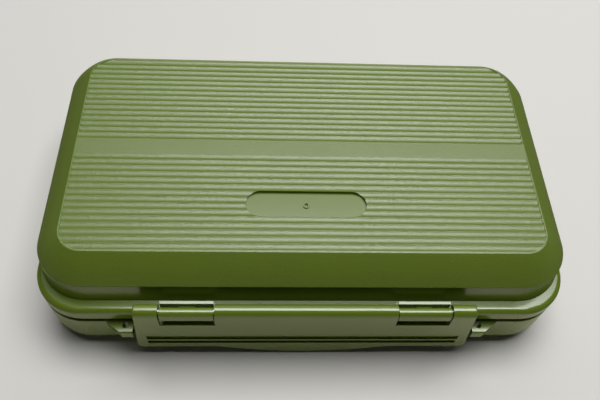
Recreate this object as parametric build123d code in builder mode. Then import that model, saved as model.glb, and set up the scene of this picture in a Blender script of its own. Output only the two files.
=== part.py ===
"""Pocket fly box: a moulded two-shell case with a gasket, a front latch flap and slit foam inside.

Millimetres, +Z up. The origin is on the surface that the box stands on, under the middle of its
bounding box. +X runs along the long side and -Y is the front, where the latch is.
"""

import os
from math import cos, radians, sin, sqrt, tan

from build123d import *

# ---------------------------------------------------------------- driving sizes of the case
BODY_WIDTH = 150.0  # along X, over the flanges
BODY_DEPTH = 92.0  # along Y, over the flanges
BODY_HEIGHT = 36.0
BODY_CORNER = 14.0  # plan radius of both flanges

# lid, from the top down
PANEL_CORNER = 7.0  # plan radius of the flat ribbed panel
CREASE_RADIUS = 0.4  # rounding between panel and shoulder
SHOULDER_RUN = 6.9  # plan width of the sloping shoulder round the panel
SHOULDER_DROP = 7.2
SHOULDER_RADIUS = 33.5  # the shoulder is slightly convex
SHOULDER_LAND = 0.35  # short upright face under it
SHOULDER_STEP = 0.2  # the wall is set back this much under the shoulder
SIDE_LEDGE = 1.45  # from the shoulder's edge out to the flange's edge, at the sides
FRONT_LEDGE = 4.4  # the same at the front and the back
WALL_HEIGHT = 6.5
WALL_DRAFT = 9.7  # degrees, outwards as it goes down
FLANGE_THICKNESS = 4.4
FLANGE_EDGE_RADIUS = 1.5
LID_WALL = 2.3
LID_ROOF = 2.6
PARTING_GAP = 1.8  # what shows between the two flanges

# ribbed panel
RIB_PITCH = 2.1
RIB_LAND = 0.1  # flat left between two grooves
FIRST_GROOVE_Y = 3.75  # the plain band lies between the two first grooves
GROOVE_DEPTH = 0.24
GROOVE_END_MARGIN = 0.4
EDGE_RIB_MARGIN = 0.9  # least distance from a groove's middle to the panel's edge
RECESS_LENGTH = 33.8
RECESS_WIDTH = 8.4
RECESS_DEPTH = 0.9
RECESS_Y = -19.4
PIP_RADIUS = 1.0
PIP_HEIGHT = 0.3
PIP_DIMPLE_RADIUS = 0.5

# base
BASE_ROUND = 6.5  # radius between the side and the bottom
BASE_FLOOR = 2.0
BASE_EDGE_RADIUS = 0.5
RIM_WIDTH = 5.4
CAVITY_ROUND = 3.5
SEAL_GROOVE_INSET = 1.7
SEAL_GROOVE_WIDTH = 2.4
SEAL_GROOVE_DEPTH = 1.9
GASKET_SIDE_CLEARANCE = 0.1
GASKET_PROUD = 0.1  # how far the gasket stays below the rim
GASKET_ROUND = 0.7
SEAL_RIB_WIDTH = 0.9
SEAL_RIB_CLEARANCE = 0.15

# hinges and latch share the overhang of their barrels outside the flanges
BARREL_RADIUS = 1.95
BARREL_OVERHANG = 1.35  # axis outside the flange face
HINGE_STATION_X = 32.0
LID_KNUCKLE = 9.0
BASE_KNUCKLE = 5.0
KNUCKLE_GAP = 0.3
KNUCKLE_RELIEF = 0.4
KNUCKLE_WEB_ANGLE = 50.0  # where on the barrel its web starts, in degrees from the horizontal
HINGE_PIN_RADIUS = 0.75
PIN_RUNNING_CLEARANCE = 0.04
PIN_FIXED_CLEARANCE = 0.01
SHELL_OVERLAP = 0.4  # how deep knuckles, lugs and rail root into a shell

# latch flap
LATCH_TOP_WIDTH = 92.0
LATCH_FLARE = 1.9  # how much further out the foot is than the roll's end
LATCH_AXIS_ABOVE_FLANGE = 3.7
LATCH_THICKNESS = 1.7
LATCH_FOOT_Z = 4.9
LATCH_CORNER = 2.0
LATCH_LIP_HALF = 24.4
LATCH_LIP_DROP = 3.9
LATCH_EDGE_RADIUS = 0.45
GRIP_END_INSET = 1.7
GRIP_ABOVE_FOOT = 3.1
GRIP_UPPER_HEIGHT = 2.7
GRIP_UPPER_DEPTH = 0.5
GRIP_RIDGE = 0.9
GRIP_LOWER_HEIGHT = 1.9
GRIP_LOWER_DEPTH = 0.8
LATCH_PIN_RADIUS = 0.6
LATCH_PIN_END_INSET = 0.4
LATCH_PIN_ROOT = 4.3  # how far a pin reaches past the window towards the middle

# windows in the flap and the lid's lugs in them
WINDOW_WIDTH = 14.9
WINDOW_END_INSET = 6.5  # from the roll's end
WINDOW_SILL_BELOW_AXIS = 4.9
LUG_SIDE_CLEARANCE = 0.3
LUG_BAR_RADIUS = 1.45
LUG_BAR_FORWARD = 0.3
LUG_BAR_LOWER = 0.2
LUG_BOTTOM_BELOW_AXIS = 2.5
LUG_RIM_THICKNESS = 0.75
LUG_RIM_BEHIND_AXIS = 1.8  # front face of the rear rim
LUG_RIM_ABOVE_AXIS = 1.0
LUG_SLOT_FLOOR_BELOW_AXIS = 1.2
LUG_WEB_WIDTH = 4.4
LUG_FOOT_BELOW_SLOT = 0.9
LUG_FOOT_BEHIND_RIM = 1.0
LUG_WEB_BELOW_RIM = 1.5
LUG_EDGE_RADIUS = 0.4

# catch rail on the base, ending in the two lanyard gussets
RAIL_TOP_BELOW_RIM = 0.4
RAIL_THICKNESS = 3.1
RAIL_LATCH_CLEARANCE = 0.4
GUSSET_LATCH_CLEARANCE = 0.5
GUSSET_FRONT_WIDTH = 3.2
GUSSET_SLANT = 4.3
LANYARD_HOLE_OFFSET = 2.0  # from the gusset's inner side
LANYARD_HOLE_INSET = 2.3  # from the gusset's front face
LANYARD_HOLE_RADIUS = 0.9
GUSSET_EDGE_RADIUS = 0.6
HOOK_END_INSET = 3.0
HOOK_REACH = 1.1
HOOK_HEIGHT = 1.8
HOOK_CLEARANCE = 0.2
HOOK_LEAD = 0.5

# slit foam on its backing sheets
LINER_THICKNESS = 1.0
LINER_CLEARANCE = 0.7
FOAM_ROWS = 5
FOAM_WIDTH = 7.0
FOAM_HEIGHT = 4.5
FOAM_END_INSET = 3.0
BASE_FOAM_PITCH = 15.0
LID_FOAM_PITCH = 13.5
SLIT_PITCH = 4.0
SLIT_WIDTH = 0.5
SLIT_DEPTH = 3.2

# ---------------------------------------------------------------- values worked out from them
SHOULDER_WIDTH = BODY_WIDTH - 2 * SIDE_LEDGE
SHOULDER_DEPTH = BODY_DEPTH - 2 * FRONT_LEDGE
PANEL_WIDTH = SHOULDER_WIDTH - 2 * SHOULDER_RUN
PANEL_DEPTH = SHOULDER_DEPTH - 2 * SHOULDER_RUN
SHOULDER_CORNER = PANEL_CORNER + SHOULDER_RUN
SHOULDER_Z = BODY_HEIGHT - SHOULDER_DROP
FLANGE_TOP_Z = SHOULDER_Z - WALL_HEIGHT
FLANGE_BOTTOM_Z = FLANGE_TOP_Z - FLANGE_THICKNESS
BASE_TOP_Z = FLANGE_BOTTOM_Z - PARTING_GAP
WALL_FLARE = WALL_HEIGHT * tan(radians(WALL_DRAFT)) - SHOULDER_STEP  # foot outside the shoulder
WALL_FOOT_WIDTH = SHOULDER_WIDTH + 2 * WALL_FLARE
WALL_FOOT_DEPTH = SHOULDER_DEPTH + 2 * WALL_FLARE
WALL_FOOT_CORNER = SHOULDER_CORNER + WALL_FLARE
LID_CAVITY_INSET = SHOULDER_STEP + LID_WALL
LID_CAVITY_WIDTH = SHOULDER_WIDTH - 2 * LID_CAVITY_INSET
LID_CAVITY_DEPTH = SHOULDER_DEPTH - 2 * LID_CAVITY_INSET
LID_CAVITY_CORNER = SHOULDER_CORNER - LID_CAVITY_INSET
LID_CEILING_Z = BODY_HEIGHT - LID_ROOF
SHOULDER_CHORD = sqrt(SHOULDER_RUN**2 + (SHOULDER_DROP - SHOULDER_LAND) ** 2)
# the cavity's chamfer keeps a full wall under the shoulder's chord
LID_CAVITY_CHAMFER = (
    (LID_WALL * SHOULDER_CHORD - LID_ROOF * SHOULDER_RUN + (SHOULDER_RUN - LID_CAVITY_INSET) * SHOULDER_DROP)
    / SHOULDER_DROP
)

BASE_CAVITY_WIDTH = BODY_WIDTH - 2 * RIM_WIDTH
BASE_CAVITY_DEPTH = BODY_DEPTH - 2 * RIM_WIDTH
BASE_CAVITY_CORNER = BODY_CORNER - RIM_WIDTH
SEAL_CENTRE_INSET = SEAL_GROOVE_INSET + SEAL_GROOVE_WIDTH / 2

BARREL_Y = BODY_DEPTH / 2 + BARREL_OVERHANG
HINGE_Z = BASE_TOP_Z + PARTING_GAP / 2
LATCH_AXIS_Z = FLANGE_TOP_Z + LATCH_AXIS_ABOVE_FLANGE
LATCH_FACE_Y = -(BARREL_Y + BARREL_RADIUS)
LATCH_BACK_Y = LATCH_FACE_Y + LATCH_THICKNESS
RAIL_TOP_Z = BASE_TOP_Z - RAIL_TOP_BELOW_RIM
RAIL_BOTTOM_Z = RAIL_TOP_Z - RAIL_THICKNESS
RAIL_FRONT_Y = LATCH_BACK_Y + RAIL_LATCH_CLEARANCE
LATCH_HALF = LATCH_TOP_WIDTH / 2
WINDOW_X = LATCH_HALF - WINDOW_END_INSET - WINDOW_WIDTH / 2
LATCH_SLOPE = LATCH_FLARE / (LATCH_AXIS_Z - LATCH_FOOT_Z)  # sideways per millimetre down
GUSSET_INNER_X = LATCH_HALF + LATCH_SLOPE * (LATCH_AXIS_Z - RAIL_BOTTOM_Z) + GUSSET_LATCH_CLEARANCE
GUSSET_FRONT_X = GUSSET_INNER_X + GUSSET_FRONT_WIDTH
GUSSET_ROOT_X = GUSSET_FRONT_X + GUSSET_SLANT
LANYARD_HOLE_X = GUSSET_INNER_X + LANYARD_HOLE_OFFSET
HINGE_PIN_LENGTH = LID_KNUCKLE + 2 * (KNUCKLE_GAP + BASE_KNUCKLE) - LATCH_PIN_END_INSET
BASE_FOAM_TOP_Z = BASE_FLOOR + LINER_THICKNESS + FOAM_HEIGHT
LID_FOAM_BOTTOM_Z = LID_CEILING_Z - LINER_THICKNESS - FOAM_HEIGHT

os.makedirs("parts", exist_ok=True)


def finish(piece, name):
    """Label a finished piece and write it as its own STEP file."""
    piece.label = name
    export_step(piece, f"parts/{name}.step")


def edges_at(part, z, half_width, half_depth):
    """The edges at height z that lie wholly inside a plan rectangle."""
    found = ShapeList()
    for edge in part.edges().filter_by_position(Axis.Z, z - 0.01, z + 0.01):
        box = edge.bounding_box()
        reach_x = max(abs(box.min.X), abs(box.max.X))
        reach_y = max(abs(box.min.Y), abs(box.max.Y))
        if reach_x < half_width + 0.05 and reach_y < half_depth + 0.05:
            found.append(edge)
    return found


def knuckle_points(side):
    """Web that ties a barrel to its shell: side is +1 for the lid, -1 for the base."""
    angle = radians(KNUCKLE_WEB_ANGLE)
    wall_y = BODY_DEPTH / 2
    tip = (BARREL_Y + BARREL_RADIUS * cos(angle), HINGE_Z + side * BARREL_RADIUS * sin(angle))
    foot_z = tip[1] + side * (tip[0] - wall_y) / tan(angle)
    root_y = wall_y - SHELL_OVERLAP
    return [
        (root_y, HINGE_Z + side * PARTING_GAP / 2),
        (root_y, foot_z),
        (wall_y, foot_z),
        tip,
        (BARREL_Y, HINGE_Z),
    ]


# ---------------------------------------------------------------- lid shell
# cutters for the two ribbed fields: shallow round grooves, trimmed to the panel's outline
groove_half_width = (RIB_PITCH - RIB_LAND) / 2
groove_radius = (groove_half_width**2 + GROOVE_DEPTH**2) / (2 * GROOVE_DEPTH)
ribs_each_side = 1 + int((PANEL_DEPTH / 2 - EDGE_RIB_MARGIN - FIRST_GROOVE_Y) / RIB_PITCH)
groove_rows = [
    side * (FIRST_GROOVE_Y + step * RIB_PITCH) for side in (-1, 1) for step in range(ribs_each_side)
]
with BuildPart() as groove_cutters:
    with BuildSketch(Plane.YZ):
        with Locations([(y, BODY_HEIGHT - GROOVE_DEPTH + groove_radius) for y in groove_rows]):
            Circle(groove_radius)
    extrude(amount=PANEL_WIDTH / 2, both=True)
    with BuildSketch(Plane.XY.offset(BODY_HEIGHT - RECESS_DEPTH)):
        RectangleRounded(
            PANEL_WIDTH - 2 * GROOVE_END_MARGIN,
            PANEL_DEPTH - 2 * GROOVE_END_MARGIN,
            PANEL_CORNER - GROOVE_END_MARGIN,
        )
    extrude(amount=RECESS_DEPTH + 2 * groove_radius, mode=Mode.INTERSECT)

# path and section of the waste outside the convex shoulder
with BuildLine(Plane.XY.offset(SHOULDER_Z)) as shoulder_path:
    half_w = SHOULDER_WIDTH / 2
    half_d = SHOULDER_DEPTH / 2
    straight_w = half_w - SHOULDER_CORNER
    straight_d = half_d - SHOULDER_CORNER
    Line((0, -half_d), (straight_w, -half_d))
    JernArc((straight_w, -half_d), (1, 0), SHOULDER_CORNER, 90)
    Line((half_w, -straight_d), (half_w, straight_d))
    JernArc((half_w, straight_d), (0, 1), SHOULDER_CORNER, 90)
    Line((straight_w, half_d), (-straight_w, half_d))
    JernArc((-straight_w, half_d), (-1, 0), SHOULDER_CORNER, 90)
    Line((-half_w, straight_d), (-half_w, -straight_d))
    JernArc((-half_w, -straight_d), (0, -1), SHOULDER_CORNER, 90)
    Line((-straight_w, -half_d), (0, -half_d))

shoulder_bulge = SHOULDER_RADIUS - sqrt(SHOULDER_RADIUS**2 - SHOULDER_CHORD**2 / 4)
waste = 1.0  # how far the waste section reaches outside the block it trims
section_plane = Plane(origin=(0, -SHOULDER_DEPTH / 2, SHOULDER_Z), x_dir=(0, -1, 0), z_dir=(-1, 0, 0))
with BuildSketch(section_plane) as shoulder_waste:
    with BuildLine():
        low = (0, SHOULDER_LAND)
        high = (-SHOULDER_RUN, SHOULDER_DROP)
        middle = (
            -SHOULDER_RUN / 2 + shoulder_bulge * (SHOULDER_DROP - SHOULDER_LAND) / SHOULDER_CHORD,
            (SHOULDER_DROP + SHOULDER_LAND) / 2 + shoulder_bulge * SHOULDER_RUN / SHOULDER_CHORD,
        )
        ThreePointArc(low, middle, high)
        Polyline(high, (high[0], high[1] + waste), (waste, high[1] + waste), (waste, low[1]), low)
    make_face()

lug_front_y = -BARREL_Y - LUG_BAR_FORWARD - LUG_BAR_RADIUS
lug_rim_front_y = -BARREL_Y + LUG_RIM_BEHIND_AXIS
lug_rim_back_y = lug_rim_front_y + LUG_RIM_THICKNESS
lug_bottom_z = LATCH_AXIS_Z - LUG_BOTTOM_BELOW_AXIS
lug_bar_z = LATCH_AXIS_Z - LUG_BAR_LOWER
lug_slot_z = LATCH_AXIS_Z - LUG_SLOT_FLOOR_BELOW_AXIS
lug_rim_top_z = LATCH_AXIS_Z + LUG_RIM_ABOVE_AXIS
lug_width = WINDOW_WIDTH - 2 * LUG_SIDE_CLEARANCE
lug_foot_top_z = lug_slot_z - LUG_FOOT_BELOW_SLOT

with BuildPart() as lid_shell:
    with BuildSketch(Plane.XY.offset(FLANGE_BOTTOM_Z)):
        RectangleRounded(BODY_WIDTH, BODY_DEPTH, BODY_CORNER)
    extrude(amount=FLANGE_THICKNESS)
    fillet(lid_shell.edges().group_by(Axis.Z)[-1], FLANGE_EDGE_RADIUS)
    with BuildSketch(Plane.XY.offset(FLANGE_TOP_Z)) as wall_foot:
        RectangleRounded(WALL_FOOT_WIDTH, WALL_FOOT_DEPTH, WALL_FOOT_CORNER)
    extrude(amount=WALL_HEIGHT, taper=WALL_DRAFT)
    extrude(wall_foot.sketch, amount=-FLANGE_EDGE_RADIUS)

    # crown with its convex shoulder
    with BuildSketch(Plane.XY.offset(SHOULDER_Z)):
        RectangleRounded(SHOULDER_WIDTH, SHOULDER_DEPTH, SHOULDER_CORNER)
    extrude(amount=SHOULDER_DROP)
    sweep(sections=shoulder_waste.sketch, path=shoulder_path.wire(), mode=Mode.SUBTRACT)
    crease = edges_at(lid_shell, BODY_HEIGHT, PANEL_WIDTH / 2, PANEL_DEPTH / 2)
    fillet(crease, CREASE_RADIUS)

    # ribs, the stadium recess and the gate mark in it
    add(groove_cutters.part, mode=Mode.SUBTRACT)
    with BuildSketch(Plane.XY.offset(BODY_HEIGHT - RECESS_DEPTH)):
        with Locations((0, RECESS_Y)):
            SlotOverall(RECESS_LENGTH, RECESS_WIDTH)
    extrude(amount=RECESS_DEPTH + waste, mode=Mode.SUBTRACT)
    with BuildSketch(Plane.XY.offset(BODY_HEIGHT - RECESS_DEPTH)):
        with Locations((0, RECESS_Y)):
            Circle(PIP_RADIUS)
    extrude(amount=PIP_HEIGHT)
    with Locations((0, RECESS_Y, BODY_HEIGHT - RECESS_DEPTH + PIP_HEIGHT)):
        Sphere(PIP_DIMPLE_RADIUS, mode=Mode.SUBTRACT)

    # relief round the base's knuckles, then the lid's own knuckles
    for station in (-HINGE_STATION_X, HINGE_STATION_X):
        with BuildSketch(Plane.YZ.offset(station)):
            with Locations((BARREL_Y, HINGE_Z)):
                Circle(BARREL_RADIUS + KNUCKLE_RELIEF)
        extrude(amount=LID_KNUCKLE / 2 + 2 * KNUCKLE_GAP + BASE_KNUCKLE, both=True, mode=Mode.SUBTRACT)
        with BuildSketch(Plane.YZ.offset(station)):
            Polygon(*knuckle_points(1), align=None)
            with Locations((BARREL_Y, HINGE_Z)):
                Circle(BARREL_RADIUS)
        extrude(amount=LID_KNUCKLE / 2, both=True)
    with BuildSketch(Plane.YZ):
        with Locations((BARREL_Y, HINGE_Z)):
            Circle(HINGE_PIN_RADIUS + PIN_RUNNING_CLEARANCE)
    extrude(amount=BODY_WIDTH / 2, both=True, mode=Mode.SUBTRACT)

    # lugs that carry the latch flap: front bar, rear rim, the slot between and a web across it
    for window in (-WINDOW_X, WINDOW_X):
        with BuildSketch(Plane.YZ.offset(window)):
            with Locations((-BARREL_Y - LUG_BAR_FORWARD, lug_bar_z)):
                Circle(LUG_BAR_RADIUS)
            with Locations((lug_front_y, lug_bottom_z)):
                Rectangle(2 * LUG_BAR_RADIUS, lug_bar_z - lug_bottom_z, align=(Align.MIN, Align.MIN))
                Rectangle(
                    lug_rim_back_y - lug_front_y, lug_slot_z - lug_bottom_z, align=(Align.MIN, Align.MIN)
                )
            with Locations((lug_rim_front_y, lug_bottom_z)):
                Rectangle(LUG_RIM_THICKNESS, lug_rim_top_z - lug_bottom_z, align=(Align.MIN, Align.MIN))
            with Locations((lug_rim_front_y, FLANGE_TOP_Z - FLANGE_EDGE_RADIUS)):
                Rectangle(
                    LUG_RIM_THICKNESS + LUG_FOOT_BEHIND_RIM,
                    lug_foot_top_z - FLANGE_TOP_Z + FLANGE_EDGE_RADIUS,
                    align=(Align.MIN, Align.MIN),
                )
        extrude(amount=lug_width / 2, both=True)
        with BuildSketch(Plane.YZ.offset(window)):
            with Locations((-BARREL_Y, lug_slot_z)):
                Rectangle(
                    LUG_RIM_BEHIND_AXIS + LUG_RIM_THICKNESS / 2,
                    lug_rim_top_z - LUG_WEB_BELOW_RIM - lug_slot_z,
                    align=(Align.MIN, Align.MIN),
                )
        extrude(amount=LUG_WEB_WIDTH / 2, both=True)
    fillet(
        lid_shell.edges()
        .filter_by(Axis.X)
        .filter_by_position(Axis.Z, lug_bottom_z - 0.01, lug_bottom_z + 0.01)
        .filter_by_position(Axis.Y, lug_front_y - 0.01, lug_front_y + 0.01),
        LUG_EDGE_RADIUS,
    )
    with BuildSketch(Plane.YZ):
        with Locations((-BARREL_Y, LATCH_AXIS_Z)):
            Circle(LATCH_PIN_RADIUS + PIN_FIXED_CLEARANCE)
    extrude(amount=LATCH_HALF, both=True, mode=Mode.SUBTRACT)

    # inside
    with BuildSketch(Plane.XY.offset(FLANGE_BOTTOM_Z)):
        RectangleRounded(LID_CAVITY_WIDTH, LID_CAVITY_DEPTH, LID_CAVITY_CORNER)
    extrude(amount=LID_CEILING_Z - LID_CAVITY_CHAMFER - FLANGE_BOTTOM_Z, mode=Mode.SUBTRACT)
    with BuildSketch(Plane.XY.offset(LID_CEILING_Z - LID_CAVITY_CHAMFER)):
        RectangleRounded(LID_CAVITY_WIDTH, LID_CAVITY_DEPTH, LID_CAVITY_CORNER)
    extrude(amount=LID_CAVITY_CHAMFER, taper=45, mode=Mode.SUBTRACT)

    # rib that presses on the gasket
    rib_bottom_z = BASE_TOP_Z - GASKET_PROUD + SEAL_RIB_CLEARANCE
    with BuildSketch(Plane.XY.offset(rib_bottom_z)):
        inset = SEAL_CENTRE_INSET - SEAL_RIB_WIDTH / 2
        RectangleRounded(BODY_WIDTH - 2 * inset, BODY_DEPTH - 2 * inset, BODY_CORNER - inset)
        inset = SEAL_CENTRE_INSET + SEAL_RIB_WIDTH / 2
        RectangleRounded(
            BODY_WIDTH - 2 * inset, BODY_DEPTH - 2 * inset, BODY_CORNER - inset, mode=Mode.SUBTRACT
        )
    extrude(amount=FLANGE_BOTTOM_Z - rib_bottom_z)
finish(lid_shell.part, "lid_shell")


# ---------------------------------------------------------------- base shell
with BuildPart() as base_shell:
    with BuildSketch():
        RectangleRounded(BODY_WIDTH, BODY_DEPTH, BODY_CORNER)
    extrude(amount=BASE_TOP_Z)
    fillet(base_shell.edges().group_by(Axis.Z)[0], BASE_ROUND)
    fillet(base_shell.edges().group_by(Axis.Z)[-1], BASE_EDGE_RADIUS)
    with BuildSketch(Plane.XY.offset(BASE_FLOOR)):
        RectangleRounded(BASE_CAVITY_WIDTH, BASE_CAVITY_DEPTH, BASE_CAVITY_CORNER)
    extrude(amount=BASE_TOP_Z - BASE_FLOOR, mode=Mode.SUBTRACT)
    fillet(edges_at(base_shell, BASE_FLOOR, BASE_CAVITY_WIDTH / 2, BASE_CAVITY_DEPTH / 2), CAVITY_ROUND)

    # groove for the gasket
    with BuildSketch(Plane.XY.offset(BASE_TOP_Z)):
        inset = SEAL_GROOVE_INSET
        RectangleRounded(BODY_WIDTH - 2 * inset, BODY_DEPTH - 2 * inset, BODY_CORNER - inset)
        inset = SEAL_GROOVE_INSET + SEAL_GROOVE_WIDTH
        RectangleRounded(
            BODY_WIDTH - 2 * inset, BODY_DEPTH - 2 * inset, BODY_CORNER - inset, mode=Mode.SUBTRACT
        )
    extrude(amount=-SEAL_GROOVE_DEPTH, mode=Mode.SUBTRACT)

    # relief round the lid's knuckles, then the base's own knuckles
    for station in (-HINGE_STATION_X, HINGE_STATION_X):
        with BuildSketch(Plane.YZ.offset(station)):
            with Locations((BARREL_Y, HINGE_Z)):
                Circle(BARREL_RADIUS + KNUCKLE_RELIEF)
        extrude(amount=LID_KNUCKLE / 2 + KNUCKLE_GAP, both=True, mode=Mode.SUBTRACT)
        for side in (-1, 1):
            near = station + side * (LID_KNUCKLE / 2 + KNUCKLE_GAP)
            with BuildSketch(Plane.YZ.offset(near)):
                Polygon(*knuckle_points(-1), align=None)
                with Locations((BARREL_Y, HINGE_Z)):
                    Circle(BARREL_RADIUS)
            extrude(amount=side * BASE_KNUCKLE)
    with BuildSketch(Plane.YZ):
        with Locations((BARREL_Y, HINGE_Z)):
            Circle(HINGE_PIN_RADIUS + PIN_FIXED_CLEARANCE)
    extrude(amount=BODY_WIDTH / 2, both=True, mode=Mode.SUBTRACT)

    # catch rail behind the flap, and a lanyard gusset at each end of it
    rail_root_y = -BODY_DEPTH / 2 + SHELL_OVERLAP
    with BuildSketch(Plane.XY.offset(RAIL_BOTTOM_Z)):
        for side in (-1, 1):
            Polygon(
                (side * GUSSET_ROOT_X, rail_root_y),
                (side * GUSSET_ROOT_X, -BODY_DEPTH / 2),
                (side * GUSSET_FRONT_X, LATCH_FACE_Y),
                (side * GUSSET_INNER_X, LATCH_FACE_Y),
                (side * GUSSET_INNER_X, rail_root_y),
                align=None,
            )
        with Locations((0, rail_root_y)):
            Rectangle(2 * GUSSET_INNER_X, rail_root_y - RAIL_FRONT_Y, align=(Align.CENTER, Align.MAX))
        with Locations(
            (-LANYARD_HOLE_X, LATCH_FACE_Y + LANYARD_HOLE_INSET),
            (LANYARD_HOLE_X, LATCH_FACE_Y + LANYARD_HOLE_INSET),
        ):
            Circle(LANYARD_HOLE_RADIUS, mode=Mode.SUBTRACT)
    extrude(amount=RAIL_THICKNESS)
    gusset_top_fronts = (
        base_shell.edges()
        .filter_by(Axis.X)
        .filter_by_position(Axis.Z, RAIL_TOP_Z - 0.01, RAIL_TOP_Z + 0.01)
        .filter_by_position(Axis.Y, LATCH_FACE_Y - 0.01, LATCH_FACE_Y + 0.01)
    )
    fillet(gusset_top_fronts, GUSSET_EDGE_RADIUS)
finish(base_shell.part, "base_shell")


# ---------------------------------------------------------------- gasket
with BuildPart() as gasket:
    with BuildSketch(Plane.XY.offset(BASE_TOP_Z - SEAL_GROOVE_DEPTH)):
        inset = SEAL_GROOVE_INSET + GASKET_SIDE_CLEARANCE
        RectangleRounded(BODY_WIDTH - 2 * inset, BODY_DEPTH - 2 * inset, BODY_CORNER - inset)
        inset = SEAL_GROOVE_INSET + SEAL_GROOVE_WIDTH - GASKET_SIDE_CLEARANCE
        RectangleRounded(
            BODY_WIDTH - 2 * inset, BODY_DEPTH - 2 * inset, BODY_CORNER - inset, mode=Mode.SUBTRACT
        )
    extrude(amount=SEAL_GROOVE_DEPTH - GASKET_PROUD)
    fillet(gasket.edges().group_by(Axis.Z)[-1], GASKET_ROUND)
finish(gasket.part, "gasket")


# ---------------------------------------------------------------- latch flap
latch_axis = Plane(origin=(0, -BARREL_Y, LATCH_AXIS_Z), x_dir=(0, 1, 0), z_dir=(1, 0, 0))
with BuildPart() as latch_flap:
    # the plate, with flared sides, round lower corners and a lip that dips in the middle
    with BuildSketch(Plane.XZ.offset(-LATCH_FACE_Y)) as plate:
        with BuildLine():
            top = LATCH_HALF
            foot = LATCH_HALF + LATCH_FLARE
            Polyline(
                (-LATCH_LIP_HALF, LATCH_FOOT_Z),
                (-foot, LATCH_FOOT_Z),
                (-top, LATCH_AXIS_Z),
                (top, LATCH_AXIS_Z),
                (foot, LATCH_FOOT_Z),
                (LATCH_LIP_HALF, LATCH_FOOT_Z),
            )
            ThreePointArc(
                (LATCH_LIP_HALF, LATCH_FOOT_Z),
                (0, LATCH_FOOT_Z - LATCH_LIP_DROP),
                (-LATCH_LIP_HALF, LATCH_FOOT_Z),
            )
        make_face()
        fillet(plate.vertices().filter_by_position(Axis.X, foot - 0.01, foot + 0.01), LATCH_CORNER)
        fillet(plate.vertices().filter_by_position(Axis.X, -foot - 0.01, -foot + 0.01), LATCH_CORNER)
    extrude(amount=-LATCH_THICKNESS)
    with BuildSketch(latch_axis):
        Circle(BARREL_RADIUS)
    extrude(amount=LATCH_HALF, both=True)

    front_edges = latch_flap.edges().filter_by_position(Axis.Y, LATCH_FACE_Y - 0.01, LATCH_FACE_Y + 0.01)
    roll_ends = latch_flap.edges().filter_by(GeomType.CIRCLE).filter_by(
        lambda edge: abs(abs(edge.center().X) - LATCH_HALF) < 0.01
    )
    fillet(front_edges.filter_by_position(Axis.Z, 0, LATCH_AXIS_Z - 0.01) + roll_ends, LATCH_EDGE_RADIUS)

    # two grip grooves with a ridge between
    grip_lower_z = LATCH_FOOT_Z + GRIP_ABOVE_FOOT
    grip_upper_z = grip_lower_z + GRIP_LOWER_HEIGHT + GRIP_RIDGE
    for bottom_z, height, depth in (
        (grip_lower_z, GRIP_LOWER_HEIGHT, GRIP_LOWER_DEPTH),
        (grip_upper_z, GRIP_UPPER_HEIGHT, GRIP_UPPER_DEPTH),
    ):
        with Locations((0, LATCH_FACE_Y, bottom_z)):
            Box(
                2 * (LATCH_HALF - GRIP_END_INSET),
                depth,
                height,
                align=(Align.CENTER, Align.MIN, Align.MIN),
                mode=Mode.SUBTRACT,
            )

    # hook bar that goes under the catch rail
    hook_top_z = RAIL_BOTTOM_Z - HOOK_CLEARANCE
    with BuildSketch(Plane.YZ):
        Polygon(
            (LATCH_BACK_Y - LATCH_THICKNESS / 2, hook_top_z),
            (LATCH_BACK_Y + HOOK_REACH, hook_top_z),
            (LATCH_BACK_Y + HOOK_REACH, hook_top_z - HOOK_HEIGHT + HOOK_LEAD),
            (LATCH_BACK_Y + HOOK_REACH - HOOK_LEAD, hook_top_z - HOOK_HEIGHT),
            (LATCH_BACK_Y - LATCH_THICKNESS / 2, hook_top_z - HOOK_HEIGHT),
            align=None,
        )
    extrude(amount=LATCH_HALF - HOOK_END_INSET, both=True)

    # windows for the lid's lugs, open at the top
    for window in (-WINDOW_X, WINDOW_X):
        with Locations((window, -BARREL_Y, LATCH_AXIS_Z - WINDOW_SILL_BELOW_AXIS)):
            Box(
                WINDOW_WIDTH,
                4 * BARREL_RADIUS,
                WINDOW_SILL_BELOW_AXIS + 2 * BARREL_RADIUS,
                align=(Align.CENTER, Align.CENTER, Align.MIN),
                mode=Mode.SUBTRACT,
            )

    # bores for the two pins, drilled in from the ends
    pin_inner_x = WINDOW_X - WINDOW_WIDTH / 2 - LATCH_PIN_ROOT
    for side in (-1, 1):
        with BuildSketch(latch_axis.offset(side * LATCH_HALF)):
            Circle(LATCH_PIN_RADIUS + PIN_RUNNING_CLEARANCE)
        extrude(amount=-side * (LATCH_HALF - pin_inner_x), mode=Mode.SUBTRACT)
finish(latch_flap.part, "latch_flap")


# ---------------------------------------------------------------- pins
def round_pin(radius, start, length):
    """A straight pin along +X from its start point, with its ends lightly chamfered."""
    with BuildPart() as pin:
        with BuildSketch(Plane(origin=start, x_dir=(0, 1, 0), z_dir=(1, 0, 0))):
            Circle(radius)
        extrude(amount=length)
        chamfer(pin.edges().filter_by(GeomType.CIRCLE), radius / 5)
    return pin.part


latch_pin_length = LATCH_HALF - LATCH_PIN_END_INSET - pin_inner_x - LATCH_PIN_END_INSET
for name, hinge_x, latch_x in (
    ("left", -HINGE_STATION_X, -LATCH_HALF + LATCH_PIN_END_INSET),
    ("right", HINGE_STATION_X, pin_inner_x + LATCH_PIN_END_INSET),
):
    hinge_start = (hinge_x - HINGE_PIN_LENGTH / 2, BARREL_Y, HINGE_Z)
    finish(round_pin(HINGE_PIN_RADIUS, hinge_start, HINGE_PIN_LENGTH), f"hinge_pin_{name}")
    latch_start = (latch_x, -BARREL_Y, LATCH_AXIS_Z)
    finish(round_pin(LATCH_PIN_RADIUS, latch_start, latch_pin_length), f"latch_pin_{name}")


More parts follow.
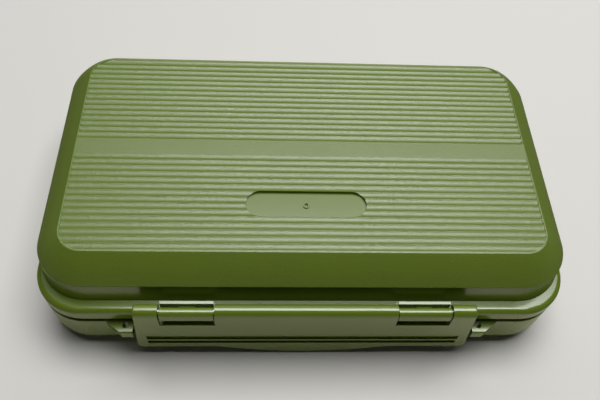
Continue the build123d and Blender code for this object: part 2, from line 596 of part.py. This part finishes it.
# ---------------------------------------------------------------- backing sheets and slit foam
def backing_sheet(width, depth, corner, bottom_z):
    """Flat sheet that the foam strips are glued to."""
    with BuildPart() as sheet:
        with BuildSketch(Plane.XY.offset(bottom_z)):
            RectangleRounded(width, depth, corner)
        extrude(amount=LINER_THICKNESS)
    return sheet.part


def foam_strip(length, y, root_z, direction):
    """Foam strip along X with cross slits; direction +1 stands up from root_z, -1 hangs."""
    slits = int((length - SLIT_PITCH) / SLIT_PITCH)
    with BuildPart() as strip:
        with BuildSketch(Plane.XZ.offset(-y - FOAM_WIDTH / 2)):
            with Locations((0, root_z + direction * FOAM_HEIGHT / 2)):
                Rectangle(length, FOAM_HEIGHT)
            with Locations((0, root_z + direction * (FOAM_HEIGHT - SLIT_DEPTH / 2))):
                with GridLocations(SLIT_PITCH, 0, slits, 1):
                    Rectangle(SLIT_WIDTH, SLIT_DEPTH, mode=Mode.SUBTRACT)
        extrude(amount=FOAM_WIDTH)
    return strip.part


base_sheet_width = BASE_CAVITY_WIDTH - 2 * (CAVITY_ROUND + LINER_CLEARANCE)
base_sheet_depth = BASE_CAVITY_DEPTH - 2 * (CAVITY_ROUND + LINER_CLEARANCE)
base_sheet_corner = BASE_CAVITY_CORNER - CAVITY_ROUND
lid_sheet_width = LID_CAVITY_WIDTH - 2 * (LID_CAVITY_CHAMFER + LINER_CLEARANCE)
lid_sheet_depth = LID_CAVITY_DEPTH - 2 * (LID_CAVITY_CHAMFER + LINER_CLEARANCE)
lid_sheet_corner = LID_CAVITY_CORNER - LID_CAVITY_CHAMFER
finish(backing_sheet(base_sheet_width, base_sheet_depth, base_sheet_corner, BASE_FLOOR), "base_liner")
lid_sheet_z = LID_CEILING_Z - LINER_THICKNESS
finish(backing_sheet(lid_sheet_width, lid_sheet_depth, lid_sheet_corner, lid_sheet_z), "lid_liner")

for row in range(FOAM_ROWS):
    place = row - (FOAM_ROWS - 1) / 2
    base_strip = foam_strip(
        base_sheet_width - 2 * FOAM_END_INSET, place * BASE_FOAM_PITCH, BASE_FLOOR + LINER_THICKNESS, 1
    )
    finish(base_strip, f"base_foam_row_{row + 1}")
    lid_strip = foam_strip(
        lid_sheet_width - 2 * FOAM_END_INSET, place * LID_FOAM_PITCH, lid_sheet_z, -1
    )
    finish(lid_strip, f"lid_foam_row_{row + 1}")

print("wall foot", round(WALL_FOOT_WIDTH, 2), round(WALL_FOOT_DEPTH, 2), "base top", round(BASE_TOP_Z, 2))
print("hinge axis y, z", BARREL_Y, round(HINGE_Z, 3), "latch axis y, z", -BARREL_Y, round(LATCH_AXIS_Z, 3))
print("foam top in base", BASE_FOAM_TOP_Z, "foam bottom in lid", round(LID_FOAM_BOTTOM_Z, 2))
print("lid cavity chamfer", round(LID_CAVITY_CHAMFER, 2), "lanyard hole x", round(LANYARD_HOLE_X, 4))
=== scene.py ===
# %% [markdown]
# # A pocket fly box
#
# The box is two moulded shells with hinges at the back, a latch flap at the front and slit foam
# inside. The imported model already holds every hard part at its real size, so this file gives those
# parts their finish, and models the soft foam, whose look needs more than a plain block.

from math import atan2, radians

import bpy
import numpy as np
from mathutils import Matrix, Vector


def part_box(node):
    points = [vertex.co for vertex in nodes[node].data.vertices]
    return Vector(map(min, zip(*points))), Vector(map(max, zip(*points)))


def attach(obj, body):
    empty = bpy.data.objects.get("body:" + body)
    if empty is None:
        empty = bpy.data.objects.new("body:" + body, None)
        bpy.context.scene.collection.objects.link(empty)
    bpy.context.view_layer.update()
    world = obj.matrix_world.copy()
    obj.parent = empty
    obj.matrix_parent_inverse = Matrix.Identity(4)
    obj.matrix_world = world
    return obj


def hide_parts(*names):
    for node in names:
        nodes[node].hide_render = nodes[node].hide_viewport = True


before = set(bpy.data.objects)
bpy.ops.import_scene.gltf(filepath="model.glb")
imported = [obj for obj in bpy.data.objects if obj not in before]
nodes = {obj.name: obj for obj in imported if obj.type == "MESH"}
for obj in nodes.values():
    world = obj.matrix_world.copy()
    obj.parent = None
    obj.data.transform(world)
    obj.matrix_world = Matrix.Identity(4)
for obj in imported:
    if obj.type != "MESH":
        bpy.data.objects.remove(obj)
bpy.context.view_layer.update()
MM = 0.001

# %% [markdown]
# ## Camera
#
# The photo was taken from the front and above, a little off centre, so near edges look longer than
# far ones. A camera is a point, three turns and a lens: it is turned about the vertical, tipped
# down, and rolled about its own axis, in that order from the outside in.

# %% Camera at the photo's viewing angle
CAMERA_PLACE = Vector((-11.6, -115.4, 185.5)) * MM
CAMERA_YAW = -5.77
CAMERA_ELEVATION = 56.83
CAMERA_ROLL = 5.47
CAMERA_LENS = 38.36

camera = bpy.data.objects.new("camera", bpy.data.cameras.new("camera"))
bpy.context.scene.collection.objects.link(camera)
camera.data.sensor_width = 36.0
camera.data.lens = CAMERA_LENS
camera.data.clip_start = 0.01
turn = Matrix.Rotation(radians(CAMERA_YAW), 4, "Z")
tip = Matrix.Rotation(radians(90 - CAMERA_ELEVATION), 4, "X")
roll = Matrix.Rotation(radians(CAMERA_ROLL), 4, "Z")
camera.matrix_world = Matrix.Translation(CAMERA_PLACE) @ turn @ tip @ roll
bpy.context.scene.camera = camera

# %% [markdown]
# ## Floor and light
#
# A plain pale floor, a softbox overhead and a wide, much weaker panel behind it. The softbox is what
# the far side of every flute and the latch's roll mirror, so they carry the bright lines. The flat
# faces mirror the weak panel to the camera, which gives them a thin veil. In front it stays dark,
# so the sloping shoulder keeps its deep green, and the glossy upright faces mirror the floor.
#
# The floor has two colours. Light and reflections meet a warm one, like raw paper, which is what the
# latch's face mirrors. The camera's own rays see a more neutral one. To both sides the glossy rays
# see it darker, a painted dark reflection as if two black flags lay beside the box, because a pale
# floor mirrored at a low angle would wash out the shoulders. Far away it passes into an even glow, so it has no dark
# edge.

# %% Node helper
def wire(tree, kind, settings=(), **inputs):
    """Add a node; each input is a value, or another node's socket to link from."""
    made = tree.nodes.new(kind)
    for key, value in dict(settings).items():
        setattr(made, key, value)
    for key, value in inputs.items():
        socket = made.inputs[int(key[1:])] if key[0] == "i" and key[1:].isdigit() else made.inputs[key]
        if isinstance(value, bpy.types.NodeSocket):
            tree.links.new(value, socket)
        else:
            socket.default_value = value
    return made


def math_node(tree, operation, first, second=0.0, third=0.0):
    """One arithmetic step on values or sockets; the result is its output socket."""
    return wire(tree, "ShaderNodeMath", {"operation": operation}, i0=first, i1=second, i2=third).outputs[0]


def ramp(tree, value, start, end, low, high, kind="LINEAR"):
    """Carry a value from the range start to end over to low to high, and no further."""
    settings = {"interpolation_type": kind}
    return wire(tree, "ShaderNodeMapRange", settings, Value=value, i1=start, i2=end, i3=low, i4=high).outputs[0]


def mix_colour(tree, share, first, second):
    """The first colour, or the second where share is 1."""
    return wire(tree, "ShaderNodeMix", {"data_type": "RGBA"}, i0=share, i6=first, i7=second).outputs[2]


def split(tree, vector):
    """The three coordinates of a vector."""
    return wire(tree, "ShaderNodeSeparateXYZ", Vector=vector).outputs


def join(tree, *pairs):
    """Link each pair of an output socket and an input socket."""
    for source, target in pairs:
        tree.links.new(source, target)


def new_material(name):
    """An empty node material with its output; returns the material, its tree and the output node."""
    material = bpy.data.materials.new(name)
    material.use_nodes = True
    material.node_tree.nodes.clear()
    output = material.node_tree.nodes.new("ShaderNodeOutputMaterial")
    return material, material.node_tree, output


# %% Floor
FLOOR_HALF = 2.0
FLOOR_COLOUR = (0.60, 0.59, 0.42, 1)
FLOOR_SEEN = (0.62, 0.61, 0.58, 1)
BLACK = (0, 0, 0, 1)
# Painted dark reflection: beyond these distances to the sides, glossy rays see the floor darker.
SIDE_REFLECTION_START, SIDE_REFLECTION_END = 0.07, 0.11  # metres to either side of the middle
SIDE_REFLECTION_DARKNESS = 0.85
GLOW_START, GLOW_END = 0.35, 1.0  # metres from the box
GLOW_COLOUR = (1.0, 0.99, 0.96, 1)
BACKDROP_STRENGTH = 0.75

floor_mesh = bpy.data.meshes.new("floor")
corners = np.array([(-1, -1, 0), (1, -1, 0), (1, 1, 0), (-1, 1, 0)], float) * FLOOR_HALF
floor_mesh.from_pydata(corners.tolist(), [], [(0, 1, 2, 3)])
floor = bpy.data.objects.new("floor", floor_mesh)
bpy.context.scene.collection.objects.link(floor)

floor_material, tree, output = new_material("pale floor")
rays = wire(tree, "ShaderNodeLightPath")
spot = wire(tree, "ShaderNodeTexCoord").outputs["Object"]
sideways = math_node(tree, "ABSOLUTE", split(tree, spot)[0])
# Painted dark reflection: the floor turns darker at the sides, for glossy rays only.
side_dimming = ramp(tree, sideways, SIDE_REFLECTION_START, SIDE_REFLECTION_END, 0.0, SIDE_REFLECTION_DARKNESS)
painted_dark_reflection = math_node(tree, "MULTIPLY", side_dimming, rays.outputs["Is Glossy Ray"])
colour_with_dark_reflection = mix_colour(tree, painted_dark_reflection, FLOOR_COLOUR, BLACK)
colour = mix_colour(tree, rays.outputs["Is Camera Ray"], colour_with_dark_reflection, FLOOR_SEEN)
paint = wire(tree, "ShaderNodeBsdfDiffuse", Color=colour)
distance = wire(tree, "ShaderNodeVectorMath", {"operation": "LENGTH"}, i0=spot).outputs["Value"]
far = ramp(tree, distance, GLOW_START, GLOW_END, 0.0, 1.0, "SMOOTHSTEP")
glow = wire(tree, "ShaderNodeEmission", Color=GLOW_COLOUR, Strength=BACKDROP_STRENGTH)
share = math_node(tree, "MULTIPLY", far, rays.outputs["Is Camera Ray"])
both = wire(tree, "ShaderNodeMixShader", i0=share, i1=paint.outputs[0], i2=glow.outputs[0])
tree.links.new(both.outputs[0], output.inputs["Surface"])
floor_mesh.materials.append(floor_material)
print("floor", 2 * FLOOR_HALF, "m wide")


# %% Lamps
def soft_lamp(name, size, place, brightness):
    """A rectangular lamp, tipped about X towards the box; brightness is the radiance of its surface."""
    lamp = bpy.data.objects.new(name, bpy.data.lights.new(name, "AREA"))
    bpy.context.scene.collection.objects.link(lamp)
    lamp.data.shape = "RECTANGLE"
    lamp.data.size, lamp.data.size_y = size
    lamp.data.energy = brightness * 4 * size[0] * size[1]
    lamp.location = place
    lamp.rotation_euler = (-atan2(place[1], place[2]), 0, 0)
    return lamp


soft_lamp("softbox", (0.70, 0.50), (0.13, 0.14, 0.85), 6.2)
soft_lamp("back panel", (1.2, 0.46), (0.05, 0.64, 0.78), 0.8)

# %% [markdown]
# ## World
#
# Behind the lamps there is only a faint even fill. The camera sees a pale backdrop in its place, and
# a glossy face sees a pale band along the horizon that fades out a little higher up.

# %% World
FILL_STRENGTH = 0.03
HORIZON_GLOSS = 0.45
UPPER_GLOSS = 0.02
BAND_LOW, BAND_HIGH = 0.02, 0.16  # sines of the angle above the horizon

world = bpy.data.worlds.new("studio")
world.use_nodes = True
tree = world.node_tree
background = tree.nodes["Background"]
background.inputs["Color"].default_value = (1, 1, 1, 1)
rays = wire(tree, "ShaderNodeLightPath")
direction = wire(tree, "ShaderNodeTexCoord").outputs["Generated"]
band = ramp(tree, split(tree, direction)[2], BAND_LOW, BAND_HIGH, HORIZON_GLOSS, UPPER_GLOSS)
more_seen = BACKDROP_STRENGTH - FILL_STRENGTH
plain = math_node(tree, "MULTIPLY_ADD", rays.outputs["Is Camera Ray"], more_seen, FILL_STRENGTH)
more_in_gloss = math_node(tree, "SUBTRACT", band, plain)
strength = math_node(tree, "MULTIPLY_ADD", rays.outputs["Is Glossy Ray"], more_in_gloss, plain)
tree.links.new(strength, background.inputs["Strength"])
bpy.context.scene.world = world
bpy.context.scene.view_settings.view_transform = "Standard"

# %% [markdown]
# ## Moulded plastic
#
# Both shells and the flap are the same olive green plastic. The mould was polished for the walls,
# the flanges and the flap, but spark-eroded for the lid's crown, which comes out matt with a fine
# grain. One material does both: it measures the place on the part and mixes the two finishes.

# %% Green plastic
PLASTIC_GREEN = (0.099, 0.150, 0.009, 1)
GLOSS_ROUGHNESS = 0.21
MATT_ROUGHNESS = 0.37
PLASTIC_IOR = 1.55
PLASTIC_SHINE = 0.75
GRAIN_SCALE = 3000.0  # cells per metre, as for every scale below
GRAIN_BUMP = 0.00009  # metres
RIPPLE_SCALE = 260.0
RIPPLE_BUMP = 0.00001
CLOUD_SCALE = 40.0
CLOUD_RANGE = 0.06
MASK_MARGIN = 0.02 * MM
SHOULDER_EDGE_Z = 28.8 * MM
RECESS_Y = -19.4 * MM
RECESS_HALF_LENGTH = 16.9 * MM
RECESS_HALF_WIDTH = 4.2 * MM


def crown_mask(tree, place):
    """1 on the grained crown, 0 elsewhere: above the shoulder's edge and outside the recess."""
    x, y, z = split(tree, place)
    above = math_node(tree, "GREATER_THAN", z, SHOULDER_EDGE_Z)
    straight = RECESS_HALF_LENGTH - RECESS_HALF_WIDTH
    along = math_node(tree, "MAXIMUM", math_node(tree, "SUBTRACT", math_node(tree, "ABSOLUTE", x), straight), 0.0)
    across = math_node(tree, "SUBTRACT", y, RECESS_Y)
    squares = math_node(tree, "MULTIPLY_ADD", along, along, math_node(tree, "MULTIPLY", across, across))
    outside = math_node(tree, "GREATER_THAN", math_node(tree, "SQRT", squares), RECESS_HALF_WIDTH + MASK_MARGIN)
    return math_node(tree, "MULTIPLY", above, outside)


def green_plastic(name, crown=False):
    """Moulded plastic, glossy, or with a grained crown where crown is true."""
    material, tree, output = new_material(name)
    place = wire(tree, "ShaderNodeTexCoord").outputs["Object"]
    cloud = wire(tree, "ShaderNodeTexNoise", Vector=place, Scale=CLOUD_SCALE, Detail=3.0).outputs[0]
    value = ramp(tree, cloud, 0.0, 1.0, 1 - CLOUD_RANGE, 1 + CLOUD_RANGE)
    tint = wire(tree, "ShaderNodeHueSaturation", Color=PLASTIC_GREEN, Value=value)
    shader = wire(tree, "ShaderNodeBsdfPrincipled")
    shader.inputs["IOR"].default_value = PLASTIC_IOR
    shader.inputs["Specular IOR Level"].default_value = PLASTIC_SHINE
    ripple = wire(tree, "ShaderNodeTexNoise", Vector=place, Scale=RIPPLE_SCALE, Detail=2.0).outputs[0]
    height = math_node(tree, "MULTIPLY", ripple, RIPPLE_BUMP)
    if crown:
        mask = crown_mask(tree, place)
        rough = math_node(tree, "MULTIPLY_ADD", mask, MATT_ROUGHNESS - GLOSS_ROUGHNESS, GLOSS_ROUGHNESS)
        tree.links.new(rough, shader.inputs["Roughness"])
        grain = wire(tree, "ShaderNodeTexNoise", Vector=place, Scale=GRAIN_SCALE, Detail=1.5).outputs[0]
        height = math_node(tree, "MULTIPLY_ADD", math_node(tree, "MULTIPLY", grain, mask), GRAIN_BUMP, height)
    else:
        shader.inputs["Roughness"].default_value = GLOSS_ROUGHNESS
    bump = wire(tree, "ShaderNodeBump", Strength=1.0, Distance=1.0, Height=height)
    join(tree, (tint.outputs[0], shader.inputs["Base Color"]), (bump.outputs[0], shader.inputs["Normal"]),
         (shader.outputs[0], output.inputs["Surface"]))
    return material


def dress(names, material):
    """Put one material on whole nodes."""
    for name in names:
        nodes[name].data.materials.clear()
        nodes[name].data.materials.append(material)


dress(["lid_shell"], green_plastic("lid plastic", crown=True))
dress(["base_shell", "latch_flap"], green_plastic("glossy plastic"))
print("plastic roughness", GLOSS_ROUGHNESS, "polished,", MATT_ROUGHNESS, "grained")

# %% [markdown]
# ## Rubber and steel
#
# The seal is a dark rubber ring, matt, with a faint moulded roughness. The pins are drawn steel
# wire: drawing leaves long fine lines along the pin, so the bump is a noise stretched along X.

# %% Seal rubber and pin steel
RUBBER_BLACK = (0.018, 0.018, 0.019, 1)
STEEL_GREY = (0.60, 0.59, 0.57, 1)


PIT_SCALE = 1800.0
PIT_BUMP = 0.00003  # metres
LINE_STRETCH = (60.0, 9000.0, 9000.0)  # cells per metre along X, Y and Z
LINE_BUMP = 0.000006


def seal_rubber():
    """Black rubber: rough, with a fine pitted bump."""
    material, tree, output = new_material("seal rubber")
    place = wire(tree, "ShaderNodeTexCoord").outputs["Object"]
    pits = wire(tree, "ShaderNodeTexNoise", Vector=place, Scale=PIT_SCALE, Detail=2.0).outputs[0]
    shade = wire(tree, "ShaderNodeHueSaturation", Color=RUBBER_BLACK, Value=ramp(tree, pits, 0.0, 1.0, 0.8, 1.3))
    shader = wire(tree, "ShaderNodeBsdfPrincipled", Roughness=0.62)
    bump = wire(tree, "ShaderNodeBump", Strength=1.0, Distance=PIT_BUMP, Height=pits)
    join(tree, (shade.outputs[0], shader.inputs["Base Color"]), (bump.outputs[0], shader.inputs["Normal"]),
         (shader.outputs[0], output.inputs["Surface"]))
    return material


def pin_steel():
    """Drawn steel wire: metal with fine lines along X, in the bump and in the roughness."""
    material, tree, output = new_material("pin steel")
    place = wire(tree, "ShaderNodeTexCoord").outputs["Object"]
    stretched = wire(tree, "ShaderNodeMapping", Vector=place, Scale=LINE_STRETCH).outputs[0]
    lines = wire(tree, "ShaderNodeTexNoise", Vector=stretched, Scale=1.0, Detail=2.0).outputs[0]
    shader = wire(tree, "ShaderNodeBsdfPrincipled", Metallic=1.0, Roughness=ramp(tree, lines, 0.0, 1.0, 0.2, 0.38))
    shader.inputs["Base Color"].default_value = STEEL_GREY
    bump = wire(tree, "ShaderNodeBump", Strength=1.0, Distance=LINE_BUMP, Height=lines)
    join(tree, (bump.outputs[0], shader.inputs["Normal"]), (shader.outputs[0], output.inputs["Surface"]))
    return material


dress(["gasket"], seal_rubber())
dress(["hinge_pin_left", "hinge_pin_right", "latch_pin_left", "latch_pin_right"], pin_steel())
print("one seal and four pins dressed")

# %% [markdown]
# ## Foam
#
# Closed-cell foam is full of tiny bubbles. Where a knife has cut it the bubbles are open, which
# gives a dull surface with small pits. A Voronoi texture has one cell per bubble, so its distance
# gives the pits, and a little of its shade too, as pits hold shadow.

# %% Foam material
STRIP_GREY = (0.50, 0.51, 0.49, 1)
SHEET_GREY = (0.33, 0.34, 0.33, 1)
BUBBLES_PER_METRE = 2400.0


def closed_cell_foam(name, colour, pit):
    """Dull foam with open bubbles; pit is their depth in metres."""
    material, tree, output = new_material(name)
    place = wire(tree, "ShaderNodeTexCoord").outputs["Object"]
    bubbles = wire(tree, "ShaderNodeTexVoronoi", Vector=place, Scale=BUBBLES_PER_METRE).outputs["Distance"]
    cloud = wire(tree, "ShaderNodeTexNoise", Vector=place, Scale=90.0, Detail=4.0).outputs[0]
    pale = math_node(tree, "MULTIPLY_ADD", bubbles, 0.22, 0.80)
    tint = wire(tree, "ShaderNodeHueSaturation", Color=colour, Value=math_node(tree, "MULTIPLY_ADD", cloud, 0.16, pale))
    shader = wire(tree, "ShaderNodeBsdfPrincipled", Roughness=0.88)
    shader.inputs["Sheen Weight"].default_value = 0.15
    shader.inputs["Sheen Roughness"].default_value = 0.5
    bump = wire(tree, "ShaderNodeBump", Strength=1.0, Distance=pit, Height=bubbles)
    join(tree, (tint.outputs[0], shader.inputs["Base Color"]), (bump.outputs[0], shader.inputs["Normal"]),
         (shader.outputs[0], output.inputs["Surface"]))
    return material


strip_foam = closed_cell_foam("strip foam", STRIP_GREY, 0.00012)
sheet_foam = closed_cell_foam("sheet foam", SHEET_GREY, 0.00005)
print("bubbles", round(1 / (BUBBLES_PER_METRE * MM), 2), "mm across")

# %% [markdown]
# ## Slit strips
#
# Ten strips hold the hooks. A knife has cut each one across every 4 mm. The cut springs open a
# little and its lips roll over, so every tooth between two cuts has a soft pillow shape. The strip
# is one closed skin: a rounded section is carried along X, and its height drops into each cut.

# %% A skin from rings of points
def skin(name, rings, material):
    """Join rings of points into a closed tube with flat caps; rings has shape (rings, points, 3)."""
    count, around = rings.shape[:2]
    ring, point = np.meshgrid(np.arange(count - 1), np.arange(around), indexing="ij")
    ahead = (point + 1) % around
    quads = np.stack(
        [ring * around + point, ring * around + ahead, (ring + 1) * around + ahead, (ring + 1) * around + point], -1
    )
    caps = [list(range(around))[::-1], list(range((count - 1) * around, count * around))]
    mesh = bpy.data.meshes.new(name)
    mesh.from_pydata(rings.reshape(-1, 3).tolist(), [], quads.reshape(-1, 4).tolist() + caps)
    mesh.polygons.foreach_set("use_smooth", np.r_[np.ones(quads.size // 4, bool), False, False])
    mesh.materials.append(material)
    mesh.update()
    piece = bpy.data.objects.new(name, mesh)
    bpy.context.scene.collection.objects.link(piece)
    return piece


# %% One slit strip
CUT_PITCH = 4.0 * MM
CUT_HALF = 0.13 * MM
CUT_DEPTH = 3.2 * MM
LIP_ROLL = 0.55 * MM  # how far a lip rolls down at the cut
LIP_REACH = 0.30 * MM
SECTION_POWER = 7.0
SECTION_POINTS = 36
UNEVEN = 0.04 * MM
WANDER = 0.06 * MM
END_ROUND = 0.7 * MM
# Where rings stand: at these distances from each cut's middle, and from each end of the strip.
BESIDE_CUT = np.array([-1.4, -0.9, -0.55, -0.35, -0.22, -0.15, -0.13, 0, 0.13, 0.15, 0.22, 0.35, 0.55, 0.9, 1.4]) * MM
BESIDE_END = np.array([0, 0.05, 0.15, 0.35, 0.7, 1.2]) * MM


def cut_strip(node, name, body, upwards, seed):
    """
    A strip in the place of its node. At a distance d from the nearest cut the section's height is
    the full one less a roll that fades as exp(-d / reach), and inside the cut it is what the knife
    left. Round the section runs a superellipse: each coordinate is a cosine or sine to the power
    2 / 7, which makes a square with soft corners. The end of a strip draws in along a quarter circle,
    and each cut wanders a little to the side, as a sine of the place across the strip.
    """
    low, high = (np.array(corner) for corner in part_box(node))
    length, width, full = high - low
    middle = (low + high) / 2
    cuts = int((length - CUT_PITCH) / CUT_PITCH)
    centres = (np.arange(cuts) - (cuts - 1) / 2) * CUT_PITCH
    x = np.concatenate([(centres[:, None] + BESIDE_CUT).ravel(), BESIDE_END - length / 2, length / 2 - BESIDE_END])
    x = np.unique(x.round(7))
    from_cut = np.abs(x[:, None] - centres).min(1)
    outside = np.clip(from_cut - CUT_HALF, 0, None)
    roll = np.exp(-outside / LIP_REACH)
    random = np.random.default_rng(seed)
    tooth = np.searchsorted(centres, x)
    uneven = random.normal(0, UNEVEN, cuts + 1)[tooth]
    tooth_height = full - LIP_ROLL * roll + uneven - 0.1 * MM
    height = np.where(from_cut < CUT_HALF + 0.005 * MM, full - CUT_DEPTH, tooth_height)
    half = width / 2 - 0.25 * MM * roll + np.abs(uneven)
    from_end = length / 2 - np.abs(x)
    end_round = np.sqrt(np.clip(1 - (1 - np.clip(from_end / END_ROUND, 0, 1)) ** 2, 0, 1)) * 0.14 + 0.86
    turn = np.linspace(0, 2 * np.pi, SECTION_POINTS, endpoint=False)
    across = np.sign(np.cos(turn)) * np.abs(np.cos(turn)) ** (2 / SECTION_POWER)
    upright = (np.sign(np.sin(turn)) * np.abs(np.sin(turn)) ** (2 / SECTION_POWER) + 1) / 2
    rings = np.empty((len(x), len(turn), 3))
    wander = WANDER * np.sin(2 * np.pi * across[None, :] + 2.1 * tooth[:, None])
    rings[..., 0] = middle[0] + x[:, None] + wander * (from_end > 1.3 * MM)[:, None]
    rings[..., 1] = middle[1] + (half * end_round)[:, None] * across
    rise = (height * (0.5 + end_round / 2))[:, None] * upright
    rings[..., 2] = low[2] + rise if upwards else high[2] - rise
    if upwards:
        rings = rings[:, ::-1]
    piece = skin(name, rings, strip_foam)
    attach(piece, body)
    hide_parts(node)
    return piece


# %% All ten strips
faces = 0
for row in range(1, 6):
    faces += len(cut_strip(f"base_foam_row_{row}", f"base_slit_foam_{row}", "base", True, row).data.polygons)
    faces += len(cut_strip(f"lid_foam_row_{row}", f"lid_slit_foam_{row}", "lid", False, 10 + row).data.polygons)
print("ten slit strips,", faces, "faces")

# %% [markdown]
# ## Backing sheets
#
# Each set of strips is glued to a thin sheet of denser foam. It was stamped out with a die, which
# rounds its upper edge. The skin is that edge's section carried round the sheet's outline.

# %% Backing sheets
SHEET_CORNER = 5.0 * MM
SHEET_EDGE = 0.3 * MM


def rounded_outline(half_x, half_y, corner, steps=10):
    """Points round a rectangle whose corners are quarter circles: centre plus corner times (cos, sin)."""
    turn = np.radians(np.linspace(0, 90, steps))
    quarters = []
    for number, (sx, sy) in enumerate(((1, 1), (-1, 1), (-1, -1), (1, -1))):
        angle = turn + number * np.pi / 2
        centre = np.array([sx * (half_x - corner), sy * (half_y - corner)])
        quarters.append(centre + corner * np.stack([np.cos(angle), np.sin(angle)], -1))
    return np.concatenate(quarters)


def stamped_sheet(node, name, body, upwards):
    """A sheet in the place of its node: rings of the outline, drawn in along a quarter circle at the free face."""
    low, high = (np.array(corner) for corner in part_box(node))
    middle = (low + high) / 2
    half = (high - low) / 2
    thick = high[2] - low[2]
    turn = np.radians(np.linspace(0, 90, 7))
    inset = np.concatenate([[0.0], SHEET_EDGE * (1 - np.cos(turn)), [SHEET_EDGE + 0.6 * MM]])
    lift = np.concatenate([[0.0], thick - SHEET_EDGE + SHEET_EDGE * np.sin(turn), [thick]])
    rings = []
    for step_in, step_up in zip(inset, lift):
        outline = rounded_outline(half[0] - step_in, half[1] - step_in, SHEET_CORNER - step_in)
        z = low[2] + step_up if upwards else high[2] - step_up
        rings.append(np.column_stack([outline + middle[:2], np.full(len(outline), z)]))
    rings = np.array(rings)
    if not upwards:
        rings = rings[:, ::-1]
    piece = skin(name, rings, sheet_foam)
    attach(piece, body)
    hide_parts(node)
    return piece


stamped_sheet("base_liner", "base_backing_sheet", "base", True)
stamped_sheet("lid_liner", "lid_backing_sheet", "lid", False)
print("two backing sheets, corners", SHEET_CORNER / MM, "mm")
